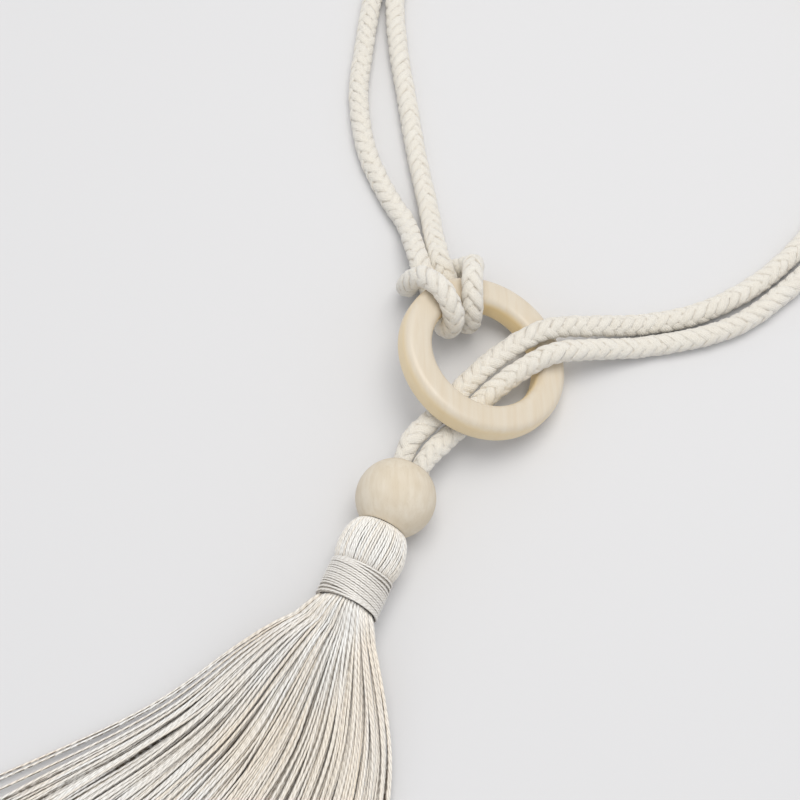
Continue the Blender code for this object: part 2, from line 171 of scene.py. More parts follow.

# Tassel: places along the hang direction are counted from the bead's centre. A layer of the
# head is (start in steps, how far it is sunk, depth of its painted shade); a ply length is how often a
# ply shows.
HEAD_PROFILE = [  # (along, radius, height of the middle) of the head's surface, in millimetres
    (12.1, 6.6, 14.1), (12.5, 8.5, 14.0), (13.5, 9.9, 13.9), (15.2, 11.0, 13.6),
    (17.5, 11.8, 13.2), (20.4, 12.3, 12.6), (23.0, 12.3, 12.3), (25.6, 12.0, 12.1),
    (27.6, 11.3, 11.9), (30.0, 10.6, 11.8),
]
HEAD_LAYERS = ((0.0, 0.75 * MM, 0.35), (0.5, 0.0, 0.0))
HEAD_STEPS = 20
HEAD_CROWDING = 1.15
HEAD_LEAN = 0.10
HEAD_PLY = 2.2 * MM
CORE_SECTIONS = [  # (along, half width, half thickness, height of the middle), in millimetres
    (12.6, 3.0, 3.0, 14.2), (13.6, 7.0, 7.0, 14.0), (15.2, 9.0, 9.0, 13.6),
    (18.0, 10.4, 10.4, 13.0), (21.0, 10.7, 10.7, 12.5), (25.0, 10.5, 10.5, 12.1),
    (28.0, 9.6, 9.6, 11.9), (44.0, 8.8, 8.6, 11.7), (50.0, 10.0, 6.0, 10.0),
]
CORE_FLATNESS = 0.98

# Neck wrap: its seed keeps the turns the same however the tassel's threads fall.
NECK_START = 28.6 * MM
NECK_END = 43.4 * MM
WRAP_OUTER = 11.8 * MM
WRAP_MARGIN = 0.3 * MM
WRAP_WOBBLE = 0.06 * MM
WRAP_STEPS = 44
# The under layer's depth is its share of painted shade.
WRAP_LAYERS = (  # (share of the slant, thread radii under the outside, tone, depth)
    (0, 2.75, 0.3, 0.45), (1, 1.0, 0.5, 0.0),
)
WRAP_SEED = 11
WRAP_PLY = 2.0 * MM

# Skirt: a thread's spread runs from -1 at its left edge to 1 at its right one, and its level
# from -1 at its underside to 1 at its top.
SKIRT_SIDES = ("left", "middle", "right")
SKIRT_SECTIONS = [  # (along, half width, half height, middle height, roundness), in millimetres
    (42.4, 10.0, 10.0, 11.8, 1.00), (43.6, 10.9, 10.8, 11.8, 1.00), (45.0, 11.9, 11.2, 11.5, 0.97),
    (47.6, 13.4, 10.8, 10.9, 0.88), (52.0, 15.9, 9.7, 9.7, 0.75),
]
SKIRT_HEIGHTS = [(0, 19.4), (15, 16.4), (30, 13.4), (50, 10.4), (78, 7.4), (110, 5.6), (172, 4.2)]
SKIRT_LENGTH = 172.0 * MM
SKIRT_PLY = 2.9 * MM
FAN_EDGES = [  # (millimetres from the root, heading of the left and of the right edge in degrees)
    (0, -41, 36), (18, -36, 34), (32, -29, 29), (44, -31, 20),
    (58, -37, 16), (78, -41, 15), (122, -43, 17), (172, -42, 20),
]
FAN_FILLED = (-0.90, 0.975)
EDGE_FALL = 0.35
EDGE_FALLS_OVER = 60 * MM
SETTLES_OVER = 22 * MM
ROOT_STEPS = 6
STRAND_STEP = 6.0 * MM
FINE_STEPS = 4
GOLDEN = (math.sqrt(5) - 1) / 2
# Each thread sways in three waves, (amount, millimetres), and slips aside near its root.
SKIRT_SWAY = 0.023
SKIRT_WAVES = ((0.9, 150.0), (0.7, 72.0), (0.45, 38.0))
SLIP_FADES = 50 * MM
# Threads gather into broad locks and narrow ones, both of uneven width. Each wave across the
# skirt is (amount, radians for a spread of 1, phase).
LOCKS_FROM = 30 * MM
LOCKS_GROW = 120 * MM
LOCK_SHIFTS = ((0.035, 17.0, 0.6), (0.02, 41.0, 0.0))
LOCKS = ((0.009, 46.0, 0.0), (0.005, 128.0, 1.3))
# Inside the skirt the threads get painted shade, from this far under its surface on.
DEEPEST = 0.74
DARK_FROM = 1.7 * MM
DARK_OVER = 3.0 * MM
# A few threads stray past the edges, and a few lie loose over all the rows.
STRAY_SPREADS = (-1.02, -1.0, -0.955, 0.985, 1.0)
STRAY_LEVEL = 0.5
LOOSE_SPREADS = np.linspace(-0.78, 0.86, 12)
LOOSE_LEVEL = 1.03
LOOSE_SWAY = 0.055

# Stage: the lights' places are counted from the point that the camera looks at.
FLOOR_SIZE = 6.0
FLOOR_BELOW = 0.1 * MM
KEY_PLACE = Vector((0.12, 0.24, 1.36))
KEY_SIZE = 0.9
FILL_PLACE = Vector((0.2, -0.1, 1.3))
FILL_SIZE = 1.1

# Depth, the share of painted shade, is one number for a strand, a column with one for each place, or one
# for each corner.
Strand = namedtuple("Strand", "centres outward half_width half_thickness tone depth")


def linear(code):
    """The linear colour of an sRGB hex code."""
    shares = [int(code[k:k + 2], 16) / 255 for k in (0, 2, 4)]
    return tuple(s / 12.92 if s <= 0.04045 else ((s + 0.055) / 1.055) ** 2.4 for s in shares)


# ---------------------------------------------------------------- settings


def length_setting(name, description, default, low, high):
    """A length that the panel shows in the scene's units."""
    return bpy.props.FloatProperty(
        name=name, description=description, default=default, min=low, max=high,
        unit="LENGTH", precision=4,
    )


def count_setting(name, description, default, low, high):
    """How many of something there are."""
    return bpy.props.IntProperty(
        name=name, description=description, default=default, min=low, max=high,
    )


def strength_setting(name, description, default):
    """How strong a light is."""
    return bpy.props.FloatProperty(name=name, description=description, default=default, min=0.0)


def colour_setting(name, description, code):
    """A colour given by its sRGB hex code and kept linear."""
    return bpy.props.FloatVectorProperty(
        name=name, description=description, default=linear(code),
        subtype="COLOR", size=3, min=0.0, max=1.0,
    )


class TiebackRope(bpy.types.PropertyGroup):
    diameter: length_setting("Diameter", "Thickness of the free rope", FREE_DIAMETER, 4 * MM, 16 * MM)
    braid_pitch: length_setting(
        "Braid pitch", "Length in which a strand goes once round the rope", 19.5 * MM, 8 * MM, 60 * MM,
    )
    colour: colour_setting("Cotton", "Colour of the cotton on top of a strand", "F5F1E7")
    # Painted shade, deep between the strands.
    groove_shade_colour: colour_setting("Grooves", "Colour down between the strands", "DDD3C2")


class TiebackRing(bpy.types.PropertyGroup):
    colour: colour_setting("Wood", "Colour of the ring's wood", "DFD4C1")
    grain_colour: colour_setting("Grain", "Colour of the ring's late wood", "D7C7AD")
    # End grain and painted warm bounce light on the walls.
    wall_grain_and_bounce_colour: colour_setting("Walls", "Colour of the ring's walls, where the grain ends", "F2D9A5")
    steps: count_setting("Steps round", "Sections round the ring before it is smoothed", 72, 24, 200)


class TiebackBead(bpy.types.PropertyGroup):
    radius: length_setting("Radius", "Radius of the bead", BEAD_RADIUS, 8 * MM, 30 * MM)
    colour: colour_setting("Wood", "Colour of the raw wood", "E2D8C6")
    grain_colour: colour_setting("Grain", "Colour of the fine grain lines", "CFBFA4")


class TiebackTassel(bpy.types.PropertyGroup):
    thread: length_setting(
        "Skirt thread", "Thickness of a thread in the skirt", 1.04 * MM, 0.4 * MM, 3 * MM,
    )
    head_thread: length_setting(
        "Head thread", "Thickness of a thread where the head is bound", 0.86 * MM, 0.4 * MM, 3 * MM,
    )
    head_threads: count_setting("Head threads", "Threads that show round the head", 82, 20, 160)
    skirt_across: count_setting("Threads across", "Threads across the widest row", 33, 6, 60)
    skirt_rows: count_setting("Rows", "Rows of threads from the skirt's top to its underside", 19, 3, 40)
    seed: count_setting("Seed", "Changes how the threads fall", 7, 0, 9999)
    light_colour: colour_setting("Ivory", "Colour of the lightest threads", "FFFFFC")
    dark_colour: colour_setting("Beige", "Colour of the darkest threads", "FBF1E1")
    # Painted shade, deep between and inside the threads.
    deep_shade_colour: colour_setting("Depth", "Colour deep between the threads", "6F5E47")


class TiebackWrap(bpy.types.PropertyGroup):
    thread: length_setting("Thread", "Thickness of the neck's thread", 0.80 * MM, 0.4 * MM, 3 * MM)
    turns: count_setting("Turns", "Turns in each of the two layers", 16, 4, 40)
    slant: length_setting(
        "Slant", "How far the outer turns lean to each side of the neck", 2.2 * MM, 0.0, 8 * MM,
    )
    colour: colour_setting("Thread colour", "Colour of the neck's thread", "FAF9F6")
    # Painted shade between the turns.
    groove_shade_colour: colour_setting("Grooves", "Colour between the turns", "94856E")


class TiebackStage(bpy.types.PropertyGroup):
    floor_colour: colour_setting("Floor", "Colour of the floor", "E0E0E1")
    sky: strength_setting("Sky", "Strength of the light from all round", 0.61)
    key: strength_setting("Key light", "Power of the large soft light in watts", 8.5)
    fill: strength_setting("Fill light", "Power of the second soft light in watts", 2.5)


# ---------------------------------------------------------------- materials


# The sockets of a Mix node that take and give colours.
FIRST, SECOND, MIXED = 6, 7, 2


def add_node(tree, kind, inputs, output=0, **settings):
    """Add a shader node and return one of its outputs.

    The inputs are a list in the node's order, or a dict by name or number. Each is a constant
    or another node's output.
    """
    node = tree.nodes.new("ShaderNode" + kind)
    for name, value in settings.items():
        setattr(node, name, value)
    for name, value in inputs.items() if isinstance(inputs, dict) else enumerate(inputs):
        socket = node.inputs[name]
        if isinstance(value, bpy.types.NodeSocket):
            tree.links.new(value, socket)
        elif socket.type == "RGBA":
            socket.default_value = (*value, 1.0)
        else:
            socket.default_value = value
    return node.outputs[output]


def new_material(name):
    """A material, what adds a node to it, and the place on the piece as its patterns' source."""
    material = bpy.data.materials.new(name)
    material.use_nodes = True
    add = partial(add_node, material.node_tree)
    return material, add, add("TexCoord", [], "Object")


def strand_data(add):
    """The map, depth and tone that a mesh of strands brings along."""
    depth, tone = (add("Attribute", [], "Fac", attribute_name=name) for name in ("depth", "tone"))
    return add("UVMap", [], uv_map="strand"), depth, tone


def finish_material(material, base, layers, bump, **values):
    """Lay each layer's colour over the base by its share, and set up the shader with the result.

    The values are the shader's constants, named with _ for a space.
    """
    tree = material.node_tree
    shader = tree.nodes["Principled BSDF"]
    for share, second in layers:
        inputs = {"Factor": share, FIRST: base, SECOND: second}
        base = add_node(tree, "Mix", inputs, MIXED, data_type="RGBA")
    tree.links.new(base, shader.inputs["Base Color"])
    if bump:
        tree.links.new(bump, shader.inputs["Normal"])
    for name, value in values.items():
        shader.inputs[name.replace("_", " ")].default_value = value
    return material


def tinted(base, red, green, blue):
    """A colour with its parts multiplied."""
    return base[0] * red, base[1] * green, base[2] * blue


def cotton_rope_material(settings):
    """Unbleached cotton, spun and braided: matt, soft, with fine yarns along each strand."""
    material, add, place = new_material("braided_cotton")
    strand_map, depth, tone = strand_data(add)
    # Eleven yarns lie side by side round a strand, about 0.9 mm apart, and wander a little.
    around = add("SeparateXYZ", [strand_map], "Y")
    scaled = add("Mapping", {"Vector": strand_map, "Scale": (0.35, 9.0, 1.0)})
    wander = add("TexNoise", {"Vector": scaled, "Scale": 1.0, "Detail": 2.0})
    even = add("Math", [around, 11.0], operation="MULTIPLY")
    turns = add("Math", [wander, 1.1, even], operation="MULTIPLY_ADD")
    phase = add("Math", [turns, math.tau], operation="MULTIPLY")
    yarns = add("Math", [phase], operation="SINE")
    # Loose fibres of about 0.7 mm stand up all over. They also fill the gaps between strands
    # here and there, about every 4 mm, and there the gaps' painted shade is lighter.
    fuzz = add(
        "TexNoise", {"Vector": place, "Scale": 1 / (0.67 * MM), "Detail": 4.0, "Roughness": 0.7},
    )
    relief = add("Math", [yarns, 0.14, fuzz], operation="MULTIPLY_ADD")
    bump = add("Bump", {"Height": relief, "Strength": 0.9, "Distance": 0.4 * MM})
    fluff = add("TexNoise", {"Vector": place, "Scale": 1 / (3.8 * MM), "Detail": 1.0})
    bare = add("MapRange", [fluff, 0.42, 0.62, 0.2, 1.0])
    # Painted shade: the groove colour darkens a strand the deeper it lies below the rope's outside.
    buried = add("MapRange", [depth, 0.2, 1.0, 0.0, 1.0], interpolation_type="SMOOTHSTEP")
    gaps = add("Math", [buried, bare], operation="MULTIPLY")
    # Undyed cotton varies from strand to strand, and in patches of about 11 mm.
    patches = add("TexNoise", {"Vector": place, "Scale": 1 / (11 * MM), "Detail": 2.0})
    patch_share = add("MapRange", [patches, 0.35, 0.75, 0.0, 0.22])
    # Painted shade in the hollows of the fuzz, where its bump is low.
    fuzz_hollow_shade = add("MapRange", [fuzz, 0.34, 0.50, 0.4, 0.0])
    # Painted shade in the troughs between the yarns.
    yarn_trough_shade = add("MapRange", [yarns, -1.0, -0.2, 0.10, 0.0])
    layers = [
        (tone, tinted(settings.colour, 0.98, 0.965, 0.94)),
        (patch_share, tinted(settings.colour, 0.95, 0.91, 0.86)),
        (fuzz_hollow_shade, settings.groove_shade_colour),
        (yarn_trough_shade, settings.groove_shade_colour),
        (gaps, settings.groove_shade_colour),
    ]
    return finish_material(
        material, settings.colour, layers, bump,
        Roughness=0.93, Specular_IOR_Level=0.25, Sheen_Weight=0.7, Sheen_Roughness=0.6,
    )


def maple_material(settings):
    """Maple, turned, sanded fine and sealed: pale, straight soft grain and a low gloss."""
    material, add, place = new_material("sealed_maple")
    # The walls' colour is end grain and painted warm bounce light.
    wall_grain_and_bounce = add("Attribute", [], "Fac", attribute_name="wall_grain_and_bounce")
    # The blank's grain runs nearly along Y, in bands about 2.4 mm wide.
    grain_turn = (0.0, 0.0, math.radians(9.0))
    stretched = add("Mapping", {"Vector": place, "Rotation": grain_turn, "Scale": (1.0, 0.07, 1.0)})
    bands = add(
        "TexNoise", {"Vector": stretched, "Scale": 1 / (2.4 * MM), "Detail": 3.0, "Distortion": 0.4},
    )
    fine = add("TexNoise", {"Vector": stretched, "Scale": 1 / (0.42 * MM), "Detail": 2.0})
    bump = add("Bump", {"Height": fine, "Strength": 0.12, "Distance": 0.05 * MM})
    grain = add("MapRange", [bands, 0.38, 0.74, 0.0, 0.7])
    pores = add("MapRange", [fine, 0.55, 0.8, 0.0, 0.10])
    layers = [
        (grain, settings.grain_colour),
        (pores, tinted(settings.grain_colour, 0.8, 0.8, 0.8)),
        (wall_grain_and_bounce, settings.wall_grain_and_bounce_colour),
    ]
    return finish_material(
        material, settings.colour, layers, bump,
        Roughness=0.38, Specular_IOR_Level=0.45, Coat_Weight=0.25, Coat_Roughness=0.22,
    )


def raw_beech_material(settings):
    """Raw beech, turned and sanded: dull, with fine close grain and a few darker flecks."""
    material, add, place = new_material("raw_beech")
    grain_turn = (0.3, 0.2, math.radians(-6.0))
    stretched = add("Mapping", {"Vector": place, "Rotation": grain_turn, "Scale": (1.0, 0.10, 0.8)})
    bands = add(
        "TexNoise", {"Vector": stretched, "Scale": 1 / (1.9 * MM), "Detail": 4.0, "Distortion": 0.6},
    )
    fine = add("TexNoise", {"Vector": stretched, "Scale": 1 / (0.33 * MM), "Detail": 2.0})
    cloud = add("TexNoise", {"Vector": place, "Scale": 1 / (9 * MM), "Detail": 1.0})
    bump = add("Bump", {"Height": fine, "Strength": 0.3, "Distance": 0.06 * MM})
    grain = add("MapRange", [bands, 0.38, 0.74, 0.0, 0.45])
    flecks = add("MapRange", [fine, 0.58, 0.76, 0.0, 0.22])
    warmth = add("MapRange", [cloud, 0.40, 0.66, 0.0, 0.4])
    layers = [
        (grain, settings.grain_colour),
        (flecks, tinted(settings.grain_colour, 0.78, 0.78, 0.78)),
        (warmth, settings.grain_colour),
    ]
    return finish_material(
        material, settings.colour, layers, bump, Roughness=0.62, Specular_IOR_Level=0.35,
    )


def silky_thread_material(name, light, dark, deep, ply_length):
    """Two-ply viscose thread: smooth and silky, with slanted plies and narrow gaps in painted shade."""
    material, add, place = new_material(name)
    strand_map, depth, tone = strand_data(add)
    # The map runs in millimetres along the thread and from 0 to 1 round it, its outer side at
    # 0.25. Two plies wind round it. The thread's tone shifts them, so that they don't line up
    # with those of its neighbours.
    lay = (1.0 / (ply_length / MM), -2.0, 0.0)
    turns = add("VectorMath", [strand_map, lay], "Value", operation="DOT_PRODUCT")
    shifted = add("Math", [tone, 5.0, turns], operation="MULTIPLY_ADD")
    phase = add("Math", [shifted, math.tau], operation="MULTIPLY")
    plies = add("Math", [phase], operation="SINE")
    bump = add("Bump", {"Height": plies, "Strength": 0.4, "Distance": 0.10 * MM})
    # Painted shade in the grooves between the plies.
    ply_groove_shade = add("MapRange", [plies, -1.0, 0.0, 0.30, 0.0])
    # Undyed thread is warmer in places, in patches of about 30 mm.
    patches = add("TexNoise", {"Vector": place, "Scale": 1 / (30 * MM), "Detail": 1.0})
    patch_share = add("MapRange", [patches, 0.42, 0.66, 0.0, 0.55])
    # The sides of a thread get painted shade, where it lies against the next. Threads touch
    # here and there, about every 2.4 mm, and close the gap.
    round_it = (0.0, math.tau, 0.0)
    around = add("VectorMath", [strand_map, round_it], "Value", operation="DOT_PRODUCT")
    facing = add("Math", [around], operation="SINE")
    flank = add("MapRange", [facing, 0.05, 0.66, 0.95, 0.0], interpolation_type="SMOOTHSTEP")
    touching = add("TexNoise", {"Vector": place, "Scale": 1 / (2.4 * MM), "Detail": 1.0})
    apart = add("MapRange", [touching, 0.38, 0.56, 0.15, 1.0])
    gaps = add("Math", [flank, apart], operation="MULTIPLY")
    layers = [
        (tone, dark),
        (patch_share, tinted(dark, 0.985, 0.945, 0.885)),
        (ply_groove_shade, deep),
        (gaps, deep),
        # Painted shade inside the tassel, by the depth of each place.
        (depth, deep),
    ]
    return finish_material(
        material, light, layers, bump,
        Roughness=0.33, Specular_IOR_Level=0.9, Sheen_Weight=1.0, Sheen_Roughness=0.35,
    )


def matt_paint_material(settings):
    """A board rolled with matt paint: pale and plain, with faint clouds about 330 mm across."""
    material, add, place = new_material("matt_paint")
    cloud = add("TexNoise", {"Vector": place, "Scale": 1 / (330 * MM), "Detail": 1.0})
    share = add("MapRange", [cloud, 0.3, 0.7, 0.0, 0.25])
    layers = [(share, tinted(settings.floor_colour, 0.985, 0.985, 0.985))]
    return finish_material(
        material, settings.floor_colour, layers, None, Roughness=0.7, Specular_IOR_Level=0.2,
    )


# ---------------------------------------------------------------- making meshes


def unit_rows(rows):
    """Each row made one long."""
    return rows / np.linalg.norm(rows, axis=1)[:, None]


def distances_along(places):
    """How far along the line through the places each of them lies."""
    steps = np.linalg.norm(np.diff(places, axis=0), axis=1)
    return np.concatenate([[0.0], np.cumsum(steps)])


def point_attribute(mesh, name, values):
    """Store one number for each vertex, which a material reads."""
    data = mesh.attributes.new(name, "FLOAT", "POINT").data
    data.foreach_set("value", np.asarray(values, dtype=np.float32))


def strand_mesh(name, strands, section):
    """One mesh of many strands, each its section swept along its centres.

    The section lists points (aside, outward) counter-clockwise. The map "strand" runs in
    millimetres along each strand and from 0 to 1 round it.
    """
    aside_share, outward_share = np.array(section).T
    sides = len(section)
    around = np.arange(sides)
    map_around = (around[:, None] + (0.5, 0.5, 1.5, 1.5)) / sides
    places, faces, maps, tones, depths = [], [], [], [], []
    first = 0
    for strand in strands:
        count = len(strand.centres)
        along = unit_rows(np.gradient(strand.centres, axis=0))
        aside = unit_rows(np.cross(along, strand.outward))
        outward = np.cross(aside, along)
        across = strand.half_width[:, None] * aside_share
        raised = strand.half_thickness[:, None] * outward_share
        corners = strand.centres[:, None] + aside[:, None] * across[..., None]
        corners = corners + outward[:, None] * raised[..., None]
        places.append(corners.reshape(-1, 3))
        tones.append(np.full(count * sides, strand.tone))
        depths.append(np.broadcast_to(strand.depth, (count, sides)).ravel())
        row = first + np.arange(count - 1)[:, None] * sides
        here = row + around
        beside = row + (around + 1) % sides
        walls = np.stack([here, here + sides, beside + sides, beside], axis=-1)
        faces.extend(walls.reshape(-1, 4).tolist())
        faces.append((first + around).tolist())
        faces.append((first + (count - 1) * sides + around[::-1]).tolist())
        travelled = distances_along(strand.centres) / MM
        start, end = travelled[:-1], travelled[1:]
        map_along = np.stack([start, end, end, start], axis=-1)[:, None]
        wall_map = np.stack(np.broadcast_arrays(map_along, map_around), axis=-1)
        maps.append(wall_map.reshape(-1, 2))
        for reached, cap in ((0.0, around), (travelled[-1], around[::-1])):
            maps.append(np.stack([np.full(sides, reached), cap / sides], axis=-1))
        first += count * sides
    mesh = bpy.data.meshes.new(name)
    mesh.from_pydata(np.concatenate(places).tolist(), [], faces)
    layer = mesh.uv_layers.new(name="strand")
    layer.uv.foreach_set("vector", np.concatenate(maps).astype(np.float32).ravel())
    point_attribute(mesh, "tone", np.concatenate(tones))
    point_attribute(mesh, "depth", np.concatenate(depths))
    mesh.shade_smooth()
    piece = bpy.data.objects.new(name, mesh)
    bpy.context.scene.collection.objects.link(piece)
    return piece


def thread(centres, outward, radius, tone, depth):
    """A strand that is equally thick all along and all round."""
    radii = np.full(len(centres), radius)
    return Strand(centres, outward, radii, radii, tone, depth)


def round_section(sides):
    """The points (aside, outward) of a round section."""
    angles = (np.arange(sides) + 0.5) * math.tau / sides
    return list(zip(np.cos(angles), np.sin(angles)))


def add_primitive(add, name, **settings):
    """Add one of Blender's primitives with nothing else selected, and name it."""
    bpy.ops.object.select_all(action="DESELECT")
    add(**settings)
    piece = bpy.context.object
    piece.name = name
    piece.data.name = name
    return piece


def select_in_edit(piece, mode, wanted):
    """In edit mode, select just the vertices or edges whose middle passes the test."""
    bpy.ops.mesh.select_mode(type=mode)
    bpy.ops.mesh.select_all(action="DESELECT")
    bm = bmesh.from_edit_mesh(piece.data)
    items = {"VERT": bm.verts, "EDGE": bm.edges}[mode]
    for item in items:
        corners = [item] if mode == "VERT" else item.verts
        middle = sum((corner.co for corner in corners), Vector()) / len(corners)
        if wanted(middle):
            item.select_set(True)
    bmesh.update_edit_mesh(piece.data)


def apply_place(piece, matrix):
    """Put a finished shape in its place, with the object itself left at the origin."""
    piece.matrix_world = matrix
    bpy.ops.object.select_all(action="DESELECT")
    piece.select_set(True)
    bpy.context.view_layer.objects.active = piece
    bpy.ops.object.transform_apply(location=True, rotation=True, scale=True)


def stand_on_flat(piece, depth):
    """Lower a piece until its lowest point is that depth under the floor, and press it level."""
    lowest = min(vert.co.z for vert in piece.data.vertices)
    apply_place(piece, Matrix.Translation((0.0, 0.0, -lowest - depth)))
    bpy.ops.object.mode_set(mode="EDIT")
    select_in_edit(piece, "VERT", lambda place: place.z < 0)
    bpy.ops.transform.resize(value=(1, 1, 0), center_override=(0, 0, 0))
    bpy.ops.object.mode_set(mode="OBJECT")


def finish_piece(piece, material, node):
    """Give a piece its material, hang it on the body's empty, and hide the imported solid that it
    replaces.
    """
    piece.data.materials.append(material)
    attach(piece, BODY)
    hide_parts(node)


def hang_point(along, aside, height):
    """A place given along the tassel from the bead's centre, to its right, and above the floor."""
    place = BEAD_CENTRE + HANG * along + ACROSS * aside
    place.z = height
    return place


def hang_line(along, heights):
    """Places along the tassel's middle line, at these heights above the floor."""
    places = np.array(BEAD_CENTRE) + np.outer(along, HANG)
    places[:, 2] = heights
    return places


def directions_round(angles):
    """Directions across the tassel, at angles counted from its right side upward."""
    return np.outer(np.cos(angles), ACROSS) + np.outer(np.sin(angles), UP)


# ---------------------------------------------------------------- rope


def beside_loop(side):
    """The loop's middle line moved sideways: +1 is the outer rope, -1 the inner one."""
    points = []
    last = len(LOOP_MIDDLE) - 1
    offset = side * LOOP_HALF_SPACING
    for k, (x, y) in enumerate(LOOP_MIDDLE):
        before = Vector(LOOP_MIDDLE[max(k - 1, 0)])
        after = Vector(LOOP_MIDDLE[min(k + 1, last)])
        along = (after - before).normalized()
        points.append((x + along.y * offset, y - along.x * offset, LOOP_HEIGHT))
    return points


def bead_mouth():
    """How far each mouth of the bore is from the bead's centre."""
    return math.sqrt(BEAD_RADIUS**2 - BEAD_BORE_RADIUS**2)


def bead_points(side):
    """The rope inside the bead, from its cut end to just past the mouth."""
    mouth = bead_mouth()
    places = (ROPE_END, ROPE_INSIDE_BEAD, -mouth, -mouth - STRAIGHT_PAST_BEAD)
    return [hang_point(along, side * ROPE_APART_IN_BEAD, BEAD_CENTRE.z) for along in places]


def rope_route():
    """All the route's points, from one cut end to the other."""
    first = bead_points(-1)
    last = bead_points(1)
    before_hitch = UPPER_RUN + beside_loop(-1) + RIGHT_LEG
    after_hitch = LEFT_LEG[::-1] + beside_loop(1)[::-1] + LOWER_RUN[::-1]
    middle = [Vector(point) * MM + ROUTE_ORIGIN for point in before_hitch + HITCH + after_hitch]
    return first + middle + last[::-1]


def smooth_through(points):
    """A curve through the points, with the point number that each of its steps belongs to."""
    padded = [points[0] * 2 - points[1]] + points + [points[-1] * 2 - points[-2]]
    curve = []
    for k in range(len(points) - 1):
        p0, p1, p2, p3 = padded[k:k + 4]
        d1, d2, d3 = (math.sqrt((b - a).length) for a, b in ((p0, p1), (p1, p2), (p2, p3)))
        leave = ((p1 - p0) / d1 - (p2 - p0) / (d1 + d2) + (p2 - p1) / d2) * d2
        arrive = ((p2 - p1) / d2 - (p3 - p1) / (d2 + d3) + (p3 - p2) / d3) * d2
        for step in range(CURVE_STEPS):
            t = step / CURVE_STEPS
            place = p1 * (2 * t**3 - 3 * t**2 + 1) + leave * (t**3 - 2 * t**2 + t)
            place += p2 * (3 * t**2 - 2 * t**3) + arrive * (t**3 - t**2)
            curve.append((place, k + t))
    curve.append((points[-1], len(points) - 1.0))
    return curve


def rope_share(numbers, count):
    """The rope's thickness at point numbers of the route, as a share of the free rope's.

    The last four points at each end are in the bead or at its mouth.
    """
    to_end = np.minimum(numbers, count - 1 - numbers)
    return np.interp(to_end, [3.0, 4.0], [ROPE_SHARE_IN_BEAD, 1.0])


def carried_normals(along, first):
    """Directions across a curve, carried along it without turning about it."""
    normals = np.empty_like(along)
    normal = first
    for k, heading in enumerate(along):
        normal = normal - heading * (normal @ heading)
        normal = normal / np.linalg.norm(normal)
        normals[k] = normal
    return normals


def build_rope(settings):
    """Eight strands braided round a core, all along the route."""
    points = rope_route()
    curve = smooth_through(points)
    places = np.array([place for place, _ in curve])
    numbers = np.array([number for _, number in curve])
    reached = distances_along(places)
    length = reached[-1]
    count = int(length / settings.braid_pitch * BRAID_STEPS_PER_TURN) + 1
    travelled = np.linspace(0.0, length, count)
    centre = np.stack([np.interp(travelled, reached, places[:, k]) for k in range(3)], axis=1)
    share = rope_share(np.interp(travelled, reached, numbers), len(points))
    share = share * settings.diameter / FREE_DIAMETER
    along = unit_rows(np.gradient(centre, axis=0))
    normal = carried_normals(along, np.array(UP))
    binormal = np.cross(along, normal)
    drift = travelled / COLUMN_DRIFT_TURN * math.tau
    core_radius = BRAID_CORE * share[::2]
    # The core's depth of 1 paints it in full shade.
    inside = Strand(centre[::2], normal[::2], core_radius, core_radius, 0.5, 1.0)
    core = strand_mesh("rope_core", [inside], round_section(8))
    section_angles = np.radians(STRAND_SECTION_ANGLES)
    section = [(-math.sin(angle), math.cos(angle)) for angle in section_angles]
    rim = settings.diameter / 2 * share[:, None]
    braid = []
    for way in (1, -1):
        for k in range(STRANDS_EACH_WAY):
            angle = way * math.tau * travelled / settings.braid_pitch + k * math.tau / STRANDS_EACH_WAY
            over = way * np.cos(2 * angle - math.pi / 4)
            over = over / np.sqrt(over**2 + CROSSING_EASE) * math.sqrt(1 + CROSSING_EASE)
            turned = (angle + drift)[:, None]
            outward = normal * np.cos(turned) + binormal * np.sin(turned)
            # The strands' waves are out of step with each other.
            uneven = np.sin(travelled / SLOW_WAVE + 2.1 * k + way)
            uneven = uneven + np.sin(travelled / QUICK_WAVE + 4.7 * k)
            radius = (STRAND_MIDDLE + WEAVE_DEPTH * over) * share + UNEVEN_HEIGHT * uneven
            swell = 1.0 + CROSSING_SWELL * over + UNEVEN_WIDTH * uneven
            surface = radius[:, None] + STRAND_HALF_THICKNESS * share[:, None] * np.cos(section_angles)
            surface = surface - FLANK_FALL * STRAND_HALF_WIDTH * np.abs(np.sin(section_angles)) ** 3
            # Painted shade, deeper the further a corner lies below the rope's outside.
            depth = np.clip((rim - surface) / DARKEST_BELOW, 0.0, 1.0)
            tone = 0.2 + 0.6 * ((3 * k + 2 * way) % 5) / 4
            braid.append(Strand(
                centre + outward * radius[:, None], outward,
                STRAND_HALF_WIDTH * share * swell, STRAND_HALF_THICKNESS * share, tone, depth,
            ))
    rope = strand_mesh("cotton_rope", braid, section)
    bpy.ops.object.select_all(action="DESELECT")
    core.select_set(True)
    rope.select_set(True)
    bpy.context.view_layer.objects.active = rope
    bpy.ops.object.join()
    finish_piece(rope, cotton_rope_material(settings), "rope")
    mouth = hang_point(-bead_mouth(), -ROPE_APART_IN_BEAD, BEAD_CENTRE.z)


# ---------------------------------------------------------------- ring and bead


def off_middle(place):
    """How far a corner of the ring's section is from the nearer of its two middle lines."""
    return min(abs(place.x - RING_MID_RADIUS), abs(place.z))


def ring_walls(places):
    """How far each vertex is on the ring's walls, where the grain ends and painted warm bounce light
    falls, from 0 to 1.
    """
    from_top = 1.0 - places[:, 2] / RING_HALF_HEIGHT
    wall_grain_and_bounce = np.clip((from_top - WALL_TOP) / WALL_TOP_BLEND, 0.0, 1.0)
    wall_grain_and_bounce = wall_grain_and_bounce * np.clip((WALL_FOOT - from_top) / WALL_FOOT_BLEND, 0.0, 1.0)
    inner = np.hypot(places[:, 0], places[:, 1]) < RING_MID_RADIUS
    # The inner walls face the rest of the ring and get more painted bounce light.
    return wall_grain_and_bounce * np.where(inner, 1.0, OUTER_WALL_SHARE)


